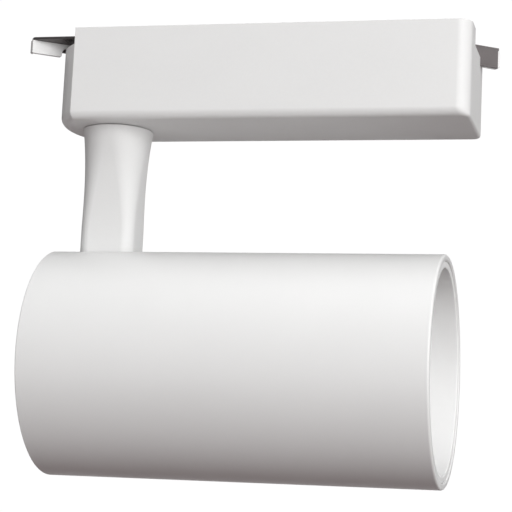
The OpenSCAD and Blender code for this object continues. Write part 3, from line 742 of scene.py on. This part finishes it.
def make_arm(tab):
    """The steel arm: hub, flat, a step up to the shelf with pressed ribs, and the web.

    The left web stops short of its skin's arch. The right one runs on to the box.
    """
    pivot = JOINTS["left_lever"]["pos_m"]
    outline = arc((pivot[0], pivot[1]), HUB_RADIUS, 62, -64, 24)
    outline += [(-ARM_BEND, FLAT_FRONT), (STEP_END, FLAT_FRONT)]
    outline += [(STEP_END, FLAT_BACK), (-ARM_BEND, FLAT_BACK)]
    arm = prism(outline, "Z", ARM_FOOT, ARM_TOP)
    riser = block((STEP_END, FLAT_FRONT, ARM_FOOT), (-RISER, FLAT_BACK, tab.top))
    shelf_plan = [(-RISER, tab.front), (0.9 * MM - tab.tip, tab.front), tab.plan(0.3 * MM, 0.2 * MM)]
    shelf_plan += [tab.plan(0.45 * MM, WEB_DEPTH), tab.plan(tab.end, WEB_DEPTH), (-RISER, FLAT_BACK)]
    shelf = prism(shelf_plan, "Z", tab.shelf, tab.top)
    lap = tab.shelf + WEB_LAP
    end = tab.end - 0.4 * MM
    notch = tab.shelf - WEB_NOTCH
    if tab.side == "left":
        foot = tab.foot - 1.2 * MM
        hem = tab.bottom + HEM
    else:
        foot = end - 0.8 * MM
        hem = tab.bottom
    web_outline = [(END_WALL, lap), (END_WALL, hem), (foot, hem), (foot, notch)]
    web_outline += [(end, notch), (end, lap)]
    web = prism(web_outline, "Y", SKIN, WEB_DEPTH)
    tab.set_in_place(web)
    ribs = []
    for i in range(3):
        x = RIB_START + RIB_PITCH * i
        rib_low = (x, RIB_FRONT, tab.shelf - RIB_DEPTH)
        ribs.append(block(rib_low, (x + RIB_WIDTH, RIB_BACK, lap)))
    cut(arm, [riser, shelf, web] + ribs, "UNION")
    soften(arm, 0.15 * MM, 2, 35)
    tab.finish(arm, "_lever_arm", "_lock_arm", "dark_steel", LOOKS["dark_steel"])


# ---------------------------------------------------------------- stem

STEM_HALF = 10.2 * MM
STEM_DEPTH = 9 * MM
FLARE = 12.95 * MM
FLARE_LENGTH = 38 * MM
STEM_CORNER = 4.2 * MM
SPIGOT_RADIUS = 6 * MM
LEAD_BORE = 2.6 * MM


def rounded_ring(half_x, half_y, corner, z, centre):
    """A rounded rectangle at one height, with as many points whatever its corner."""
    corner = max(min(corner, half_x, half_y), 0.00002)
    points = []
    for sx, sy, start in ((1, -1, -90), (1, 1, 0), (-1, 1, 90), (-1, -1, 180)):
        middle = (centre.x + sx * (half_x - corner), centre.y + sy * (half_y - corner))
        points += arc(middle, corner, start, start + 90, 14)
    return [(x, y, z) for x, y in points]


def make_stem():
    """The cast stem: spigot, smooth flare under the box, column, and a round eye at the tilt."""
    top = SWIVEL.z - 0.3 * MM
    reach = TILT.z - stem_low.z
    rings = []
    for i in range(13):
        angle = math.radians(90 * i / 12)
        half = max(reach * math.sin(angle), 0.0003)
        z = TILT.z - reach * math.cos(angle)
        rings.append(rounded_ring(half, STEM_DEPTH, STEM_CORNER * math.sin(angle) ** 2, z, TILT))
    flare_start = top - FLARE_LENGTH
    for z in (TILT.z + 12 * MM, TILT.z + 28 * MM, flare_start - 2 * MM):
        rings.append(rounded_ring(STEM_HALF, STEM_DEPTH, STEM_CORNER, z, TILT))
    for i in range(25):
        share = i / 24
        swell = share ** 2.3
        half_x = STEM_HALF + (FLARE - STEM_HALF) * swell
        half_y = STEM_DEPTH + (FLARE - STEM_DEPTH) * swell
        corner = STEM_CORNER + (FLARE - STEM_CORNER) * share ** 1.5
        rings.append(rounded_ring(half_x, half_y, corner, flare_start + FLARE_LENGTH * share, TILT))
    bore_foot = TILT.z + 16 * MM
    spigot = [(SPIGOT_RADIUS, top), (SPIGOT_RADIUS, stem_high.z)]
    spigot += [(LEAD_BORE, stem_high.z), (LEAD_BORE, bore_foot)]
    for radius, z in spigot:
        rings.append(rounded_ring(radius, radius, radius, z, TILT))
    stem = loft("stem_casting", rings)
    soften(stem, 0.2 * MM, 2, 40)
    finish_piece(stem, "stem", "stem_arm", CAST_COAT_PAINTED_SHADE)


# ---------------------------------------------------------------- lamp head

TUBE_WALL = 2.2 * MM
LIP = 0.9 * MM
SLOT_HALF = 9.7 * MM
SLOT_REACH = 11.05 * MM
SLOT_FLOOR = 20 * MM
LATHE_STEPS = 192
BEZEL_WALL = 2.55 * MM


def make_barrel():
    """The barrel tube with a rounded front lip and the slot in which the stem swings."""
    outer = tube_high.y
    inner = outer - TUBE_WALL
    back, front = tube_low.x, tube_high.x
    small = 0.5 * MM
    profile = []
    profile += arc((back + small, outer - small), small, 180, 90, 4)
    for i in range(1, 6):
        profile.append((back + small + (front - LIP - back - small) * i / 6, outer))
    profile += arc((front - LIP, outer - LIP), LIP, 90, 0, 6)
    profile += arc((front - small, inner + small), small, 0, -90, 4)
    profile.append(((front + back) / 2, inner))
    profile += arc((back + small, inner + small), small, -90, -180, 4)
    barrel = lathe("barrel_shell", profile, TILT, LATHE_STEPS)
    slot_low = (back - MM, -SLOT_HALF, TILT.z + SLOT_FLOOR)
    slot = block(slot_low, (SWIVEL.x + SLOT_REACH, SLOT_HALF, tube_high.z + MM))
    cut(barrel, [slot])
    soften(barrel, 0.35 * MM, 2, 40)
    finish_piece(barrel, "lamp_head", "barrel_tube", BARREL_COAT)


def make_bezel():
    """The front ring: a sleeve with a soft lip, a flange over the lens, and a seat for it."""
    outer = bezel_high.y
    inner = outer - BEZEL_WALL
    back, front = bezel_low.x, bezel_high.x
    gasket_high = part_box("lens_gasket")[1]
    flange = gasket_high.y - 3 * MM
    seat = gasket_high.y + 0.1 * MM
    flange_back = gasket_high.x
    flange_front = flange_back + 2 * MM
    big = 0.8 * MM
    small = 0.5 * MM
    profile = [(back, outer)]
    for i in range(1, 5):
        profile.append((back + (front - big - back) * i / 5, outer))
    profile += arc((front - big, outer - big), big, 90, 0, 6)
    profile += arc((front - small, inner + small), small, 0, -90, 5)
    profile.append((flange_front + 6 * MM, inner))
    profile.append((flange_front + 1.2 * MM, inner))
    profile.append((flange_front, inner))
    profile += arc((flange_front - 0.4 * MM, flange + 0.4 * MM), 0.4 * MM, 0, -90, 3)
    profile.append((flange_back, flange))
    profile.append((flange_back, seat))
    profile.append((back, seat))
    bezel = lathe("front_bezel", profile, TILT, LATHE_STEPS)
    soften(bezel, 0.2 * MM, 2, 40)
    finish_piece(bezel, "lamp_head", "front_ring", RING_COAT_PAINTED_LIGHT)


def make_reflector():
    """A facetted bowl: flat facets round and along it, smooth outside, flange at its mouth."""
    throat = 7.5 * MM
    mouth = mirror_high.y - 3 * MM
    back, front = mirror_low.x, mirror_high.x
    rows, columns = 9, 36
    skin = 2 * MM
    rim = 1.2 * MM
    rim_radius = mirror_high.y - 0.05 * MM
    last_turn = 0.5 * (rows % 2)
    bm = bmesh.new()

    def bowl(share, extra):
        return throat + (mouth - throat) * (1.25 * share - 0.25 * share * share) + extra

    def ring(x, radius, turn):
        return [
            bm.verts.new((
                x,
                TILT.y + radius * math.sin(2 * math.pi * (i + turn) / columns),
                TILT.z + radius * math.cos(2 * math.pi * (i + turn) / columns),
            ))
            for i in range(columns)
        ]

    inside = []
    for k in range(rows + 1):
        share = k / rows
        inside.append(ring(back + (front - back) * share, bowl(share, 0), 0.5 * (k % 2)))
    for k in range(rows):
        low, high = inside[k], inside[k + 1]
        for i in range(columns):
            j = (i + 1) % columns
            ahead, behind = (j, i) if k % 2 else (i, (i - 1) % columns)
            bm.faces.new((low[i], high[ahead], high[behind]))
            bm.faces.new((low[i], low[j], high[ahead]))
    outside = [inside[-1]]
    for x in (front, front - rim):
        outside.append(ring(x, rim_radius, last_turn))
    outside.append(ring(front - rim, bowl(1 - rim / (front - back), skin), last_turn))
    for k in range(4, -1, -1):
        share = k / 5
        outside.append(ring(back + (front - back) * share, bowl(share, skin), last_turn))
    outside.append(ring(back, throat + 0.2 * MM, 0))
    for low, high in zip(outside[:-1], outside[1:]):
        for i in range(columns):
            j = (i + 1) % columns
            bm.faces.new((low[i], low[j], high[j], high[i]))
    bmesh.ops.remove_doubles(bm, verts=outside[-1] + inside[0], dist=0.0003)
    reflector = object_from(bm, "facetted_reflector")
    for polygon in reflector.data.polygons:
        polygon.use_smooth = False
    step = reflector.modifiers.new("facets", "BEVEL")
    step.width = 0.1 * MM
    step.segments = 1
    step.limit_method = "ANGLE"
    step.angle_limit = math.radians(4)
    finish_piece(
        reflector, "lamp_head", "reflector", LOOKS["bright_reflector"]
    )


# ---------------------------------------------------------------- carried-over nodes

# How far each node's edges are rounded, in millimetres
EDGES = {
    "left_lock_dog": 0.25, "right_lock_dog": 0.25, "rear_cap": 0.35, "top_deck": 0.3,
    "contact_carrier": 0.3, "live_contact": 0.15, "neutral_contact": 0.15, "earth_contact": 0.15,
    "heat_sink": 0.15, "swivel_nut": 0.3, "tilt_nut": 0.25, "tilt_pin": 0.25, "slot_liner": 0.2,
    "front_lens": 0.3, "transformer_core": 0.4, "transformer_winding": 0.6, "capacitors": 0.8,
    "board_parts": 0.3, "driver_board": 0.15, "led_holder": 0.3, "led_board": 0.15,
}
SOFT_DEFAULT = 0.12
NO_EDGES = {"supply_leads", "output_leads", "stem_leads", "head_leads", "line_choke"}
OWN_LOOK = {"rear_cap": BARREL_COAT}


def dress_nodes():
    """Rounds the edges of each carried-over node and gives it its material."""
    slots = {part["node"]: part["material_slot"] for part in frame["record"]["subparts"]}
    for name, obj in NODES.items():
        paint(obj, OWN_LOOK.get(name, LOOKS[slots[name]]))
        if obj.hide_render:
            continue
        if name in NO_EDGES:
            weld(obj)
        else:
            soften(obj, EDGES.get(name, SOFT_DEFAULT) * MM, 2, 38, packed=True)


# ---------------------------------------------------------------- studio

CAMERA_PLACE = Vector((0.1497, -0.6063, -0.1777))
CAMERA_YAW, CAMERA_PITCH, CAMERA_ROLL = 13.96, 8.92, 2.70
SENSOR_MM = 36
LENS_MM = 123.05


def make_camera():
    """Looks up at the lamp from the front, a little to the right of it."""
    data = bpy.data.cameras.new("camera")
    data.sensor_width = SENSOR_MM
    data.lens = LENS_MM
    data.clip_start = 0.01
    data.clip_end = 100
    camera = bpy.data.objects.new("camera", data)
    bpy.context.scene.collection.objects.link(camera)
    yaw, pitch, roll = (math.radians(a) for a in (CAMERA_YAW, CAMERA_PITCH, CAMERA_ROLL))
    ahead = Vector((-math.sin(yaw) * math.cos(pitch), math.cos(yaw) * math.cos(pitch), math.sin(pitch)))
    right = Vector((math.cos(yaw), math.sin(yaw), 0))
    up = right.cross(ahead)
    tilted_right = right * math.cos(roll) + up * math.sin(roll)
    tilted_up = up * math.cos(roll) - right * math.sin(roll)
    matrix = Matrix((tilted_right, tilted_up, -ahead)).transposed().to_4x4()
    matrix.translation = CAMERA_PLACE
    camera.matrix_world = matrix
    bpy.context.scene.camera = camera


def make_floor():
    """A plain pale floor far below the lamp, with an even glow of its own like a light table."""
    bm = bmesh.new()
    bmesh.ops.create_grid(bm, x_segments=8, y_segments=8, size=4)
    floor = object_from(bm, "studio_floor")
    floor.location.z = cad_low.z - 0.62
    recipe = Recipe("pale_floor")
    pale = recipe.blend(recipe.noise(3, 3), (0.80, 0.80, 0.80), (0.84, 0.84, 0.84))
    recipe.colour(recipe.blend(recipe.noise(5, 3), (0.10, 0.10, 0.10), (0.12, 0.12, 0.12)))
    recipe.link(pale, recipe.shader.inputs["Emission Color"])
    recipe.set(Emission_Strength=0.9)
    recipe.roughness(recipe.spread(recipe.noise(40, 3), 0.3, 0.7, 0.6, 0.7))
    recipe.bump(recipe.noise(400, 3), 0.0001, 0.2)
    paint(floor, recipe.material)
    floor.visible_diffuse = False
    floor.visible_glossy = False
    floor.visible_shadow = False


def soft_light(name, azimuth, elevation, distance, size, power):
    """A large square lamp that faces the middle of the object."""
    centre = (cad_low + cad_high) / 2
    a, e = math.radians(azimuth), math.radians(elevation)
    away = Vector((math.sin(a) * math.cos(e), -math.cos(a) * math.cos(e), math.sin(e)))
    data = bpy.data.lights.new(name, "AREA")
    data.shape = "SQUARE"
    data.size = size
    data.energy = power
    lamp = bpy.data.objects.new(name, data)
    lamp.location = centre + away * distance
    lamp.rotation_mode = "QUATERNION"
    lamp.rotation_quaternion = away.to_track_quat("Z", "Y")
    lamp.visible_camera = False
    bpy.context.scene.collection.objects.link(lamp)


ABOVE = (0.20, 0.20, 0.20)
HORIZON = (0.05, 0.05, 0.05)
LOW_WALL = (0.88, 0.875, 0.875)
FOOT = (0.072, 0.038, 0.038)


def make_world():
    """White behind the lamp, and a soft room round it, brightest low on its walls."""
    world = bpy.data.worlds.new("studio")
    world.use_nodes = True
    bpy.context.scene.world = world
    nodes, links = world.node_tree.nodes, world.node_tree.links
    nodes.clear()
    out = nodes.new("ShaderNodeOutputWorld")
    mix = nodes.new("ShaderNodeMixShader")
    paths = nodes.new("ShaderNodeLightPath")
    backdrop = nodes.new("ShaderNodeBackground")
    backdrop.inputs["Color"].default_value = (1.0, 1.0, 1.0, 1.0)
    backdrop.inputs["Strength"].default_value = 1.02
    room = nodes.new("ShaderNodeBackground")
    place = nodes.new("ShaderNodeTexCoord")
    split = nodes.new("ShaderNodeSeparateXYZ")
    span = nodes.new("ShaderNodeMapRange")
    span.inputs["From Min"].default_value = -1.0
    ramp = nodes.new("ShaderNodeValToRGB")
    stops = ramp.color_ramp.elements
    stops[0].position, stops[0].color = 0.0, (*FOOT, 1.0)
    stops[1].position, stops[1].color = 1.0, (*ABOVE, 1.0)
    bands = ((0.28, FOOT), (0.33, LOW_WALL), (0.44, LOW_WALL), (0.50, HORIZON), (0.56, ABOVE))
    for position, colour in bands:
        stops.new(position).color = (*colour, 1.0)
    links.new(place.outputs["Generated"], split.inputs["Vector"])
    links.new(split.outputs["Z"], span.inputs["Value"])
    links.new(span.outputs["Result"], ramp.inputs["Fac"])
    links.new(ramp.outputs["Color"], room.inputs["Color"])
    links.new(paths.outputs["Is Camera Ray"], mix.inputs["Fac"])
    links.new(room.outputs["Background"], mix.inputs[1])
    links.new(backdrop.outputs["Background"], mix.inputs[2])
    links.new(mix.outputs["Shader"], out.inputs["Surface"])


def make_studio():
    """Camera, floor, world and lamps, with colours shown as they are."""
    make_camera()
    make_floor()
    make_world()
    soft_light("key", 36, 10, 1.6, 1.1, 20.2)
    soft_light("overhead", 20, 72, 1.3, 1.2, 8.0)
    soft_light("side", 82, 22, 1.6, 1.0, 1.9)
    bpy.context.scene.view_settings.view_transform = "Standard"
    bpy.context.scene.view_settings.look = "None"
    bpy.context.scene.view_settings.exposure = 0.0
    bpy.context.scene.view_settings.gamma = 1.0


make_housing()
make_posts()
for side in ("left", "right"):
    make_cap(Tab(side))
    make_arm(Tab(side))
make_stem()
make_barrel()
make_bezel()
make_reflector()
dress_nodes()
make_studio()

bpy.context.view_layer.update()
